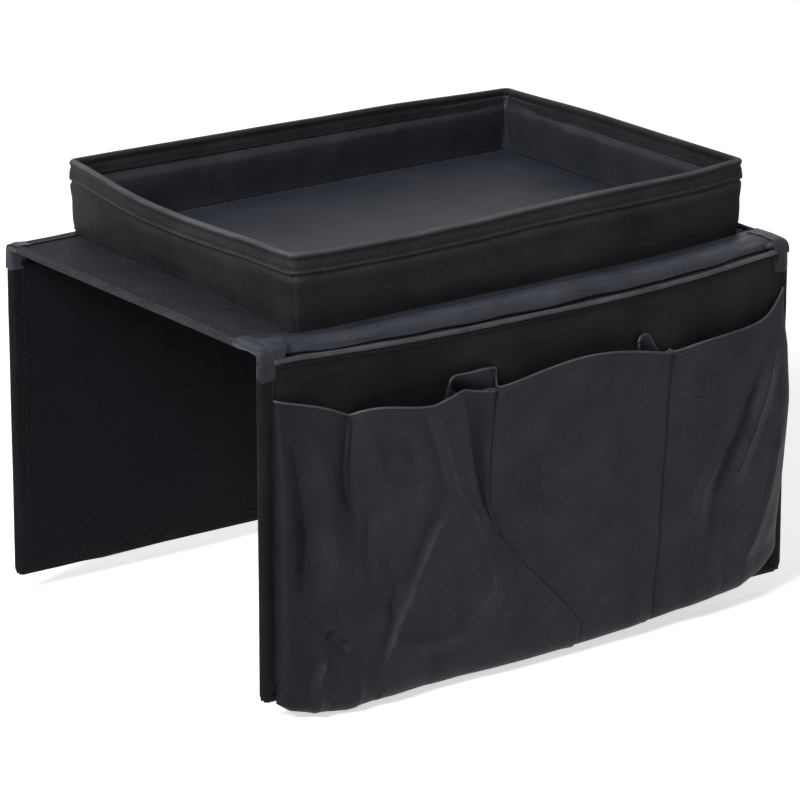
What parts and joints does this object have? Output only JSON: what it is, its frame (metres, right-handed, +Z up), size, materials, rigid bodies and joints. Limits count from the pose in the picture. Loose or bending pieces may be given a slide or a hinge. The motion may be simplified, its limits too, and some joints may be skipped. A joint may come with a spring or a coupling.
{
  "type": "sofa arm tray",
  "caption": "Cloth-covered open tray on a stiff saddle that straddles a sofa arm, with a folding flap on each side and cloth pockets on the flaps.",
  "frame": {"origin": "centre of the saddle's underside, where the product rests on the sofa arm", "axes": "+X along the arm towards the end where the tray is nearly flush, +Y across the arm towards the far flap, +Z up"},
  "size_m": [0.36, 0.275, 0.238],
  "materials": {
    "cover_cloth": "matte",
    "lining_cloth": "matte",
    "pocket_cloth": "matte",
    "binding_cloth": "matte",
    "stiffener_board": "matte"
  },
  "bodies": {
    "saddle": {"saddle_board": "stiffener_board", "saddle_cover": "cover_cloth", "saddle_lining": "lining_cloth", "saddle_left_binding": "binding_cloth", "saddle_right_binding": "binding_cloth", "tray_floor_board": "stiffener_board", "tray_floor_lining": "lining_cloth", "tray_near_wall_board": "stiffener_board", "tray_far_wall_board": "stiffener_board", "tray_left_wall_board": "stiffener_board", "tray_right_wall_board": "stiffener_board", "tray_outer_cover": "cover_cloth", "tray_inner_lining": "lining_cloth", "tray_rim_binding": "binding_cloth", "near_fold_strip": "cover_cloth", "far_fold_strip": "cover_cloth"},
    "near_flap": {"near_flap_board": "stiffener_board", "near_flap_cover": "cover_cloth", "near_flap_lining": "lining_cloth", "near_left_binding": "binding_cloth", "near_right_binding": "binding_cloth", "near_bottom_binding": "binding_cloth", "near_top_welt": "binding_cloth", "near_pocket_strip": "pocket_cloth"},
    "far_flap": {"far_flap_board": "stiffener_board", "far_flap_cover": "cover_cloth", "far_flap_lining": "lining_cloth", "far_left_binding": "binding_cloth", "far_right_binding": "binding_cloth", "far_bottom_binding": "binding_cloth", "far_top_welt": "binding_cloth", "far_pocket_strip": "pocket_cloth"}
  },
  "joints": [
    {"name": "near_flap_fold", "type": "hinge", "parent": "saddle", "child": "near_flap", "pos_m": [0, -0.1227, -0.0074], "axis": [1, 0, 0], "range_deg": [-90, 75], "deforming": ["near_fold_strip"]},
    {"name": "far_flap_fold", "type": "hinge", "parent": "saddle", "child": "far_flap", "pos_m": [0, 0.1227, -0.0045], "axis": [-1, 0, 0], "range_deg": [-90, 90], "deforming": ["far_fold_strip"]}
  ]
}
